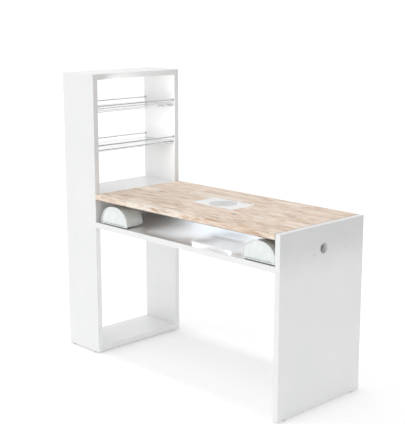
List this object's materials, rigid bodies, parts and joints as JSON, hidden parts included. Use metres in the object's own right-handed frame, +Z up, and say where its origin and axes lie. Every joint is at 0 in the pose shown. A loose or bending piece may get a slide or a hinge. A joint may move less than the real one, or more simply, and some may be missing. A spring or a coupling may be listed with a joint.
{
  "type": "manicure table with built-in dust collector",
  "caption": "Manicure table with a shelf tower, wooden top, storage bay with padded arm rests, and a fan-driven dust collector drawing air through a perforated plate in the top.",
  "frame": {"origin": "on the floor under the middle of the whole table", "axes": "+X along the table from the shelf tower to the end panel, -Y towards the worker, +Z up"},
  "size_m": [1.338, 0.515, 1.3],
  "materials": {
    "white_board": "glossy white laminate on chipboard",
    "oak_top": "pale oak staves under a matt lacquer",
    "shelf_glass": "clear polished float glass",
    "chrome": "bright chrome plate",
    "zinc_steel": "zinc-plated steel",
    "beech": "plain fluted beech",
    "die_cast_zinc": "tumbled die casting",
    "black_plastic": "moulded, fine texture",
    "white_plastic": "moulded, satin",
    "white_steel": "white powder coat",
    "black_foam": "closed-cell foam strip",
    "filter_paper": "pleated carbon-loaded filter paper",
    "white_leatherette": "smooth wipe-clean leatherette",
    "black_board": "black-faced fibreboard",
    "grey_felt": "needled felt",
    "winding_copper": "enamelled windings on laminated iron",
    "circuit_green": "solder-masked board",
    "wire_black": "insulated lead"
  },
  "bodies": {
    "table": {"tower_front_panel": "white_board", "tower_back_panel": "white_board", "tower_top_board": "white_board", "tower_bottom_board": "white_board", "tower_desk_shelf": "white_board", "bay_end_panel": "white_board", "upper_glass_shelf": "shelf_glass", "lower_glass_shelf": "shelf_glass", "shelf_pins": "chrome", "upper_shelf_rails": "chrome", "lower_shelf_rails": "chrome", "rail_flanges": "chrome", "joint_dowels": "beech", "cam_bolts": "zinc_steel", "cam_discs": "die_cast_zinc", "table_top": "oak_top", "end_panel": "white_board", "tray_board": "white_board", "bay_back_panel": "white_board", "floor_glides": "black_plastic", "inlet_frame": "white_plastic", "inlet_frame_screws": "zinc_steel", "plate_gasket": "black_foam", "collector_housing": "white_steel", "housing_screws": "zinc_steel", "bottom_cover": "white_steel", "cover_screws": "zinc_steel", "exhaust_grille": "black_plastic", "grille_screws": "zinc_steel", "fan_guard": "chrome", "fan_frame": "black_plastic", "fan_screws": "zinc_steel", "fan_bearings": "zinc_steel", "fan_stator": "winding_copper", "switch_body": "black_plastic", "power_jack": "black_plastic", "power_jack_nut": "zinc_steel", "circuit_board": "circuit_green", "board_standoffs": "zinc_steel", "terminal_block": "circuit_green", "capacitor": "black_plastic", "fan_lead": "wire_black", "switch_lead": "wire_black", "jack_lead": "wire_black"},
    "intake": {"intake_plate": "white_steel", "filter_frame": "black_plastic", "filter_media": "filter_paper", "filter_pins": "zinc_steel"},
    "fan_rotor": {"fan_impeller": "black_plastic", "fan_magnet_ring": "zinc_steel", "fan_shaft": "zinc_steel"},
    "rocker": {"switch_rocker": "black_plastic"},
    "left_rest": {"left_rest_cushion": "white_leatherette", "left_rest_base": "black_board", "left_rest_feet": "grey_felt"},
    "right_rest": {"right_rest_cushion": "white_leatherette", "right_rest_base": "black_board", "right_rest_feet": "grey_felt"}
  },
  "joints": [
    {"name": "intake_lift", "type": "slide", "parent": "table", "child": "intake", "axis": [0, 0, 1], "range_m": [0, 0.12]},
    {"name": "fan_spin", "type": "hinge", "parent": "table", "child": "fan_rotor", "pos_m": [0.0975, 0.014, 0.7187], "axis": [0, 0, 1], "continuous": true},
    {"name": "switch_rock", "type": "hinge", "parent": "table", "child": "rocker", "pos_m": [0.1925, -0.059, 0.708], "axis": [-1, 0, 0], "range_deg": [0, 14]},
    {"name": "left_rest_slide", "type": "slide", "parent": "table", "child": "left_rest", "axis": [0, -1, 0], "range_m": [0, 0.3]},
    {"name": "right_rest_slide", "type": "slide", "parent": "table", "child": "right_rest", "axis": [0, -1, 0], "range_m": [0, 0.3]}
  ]
}
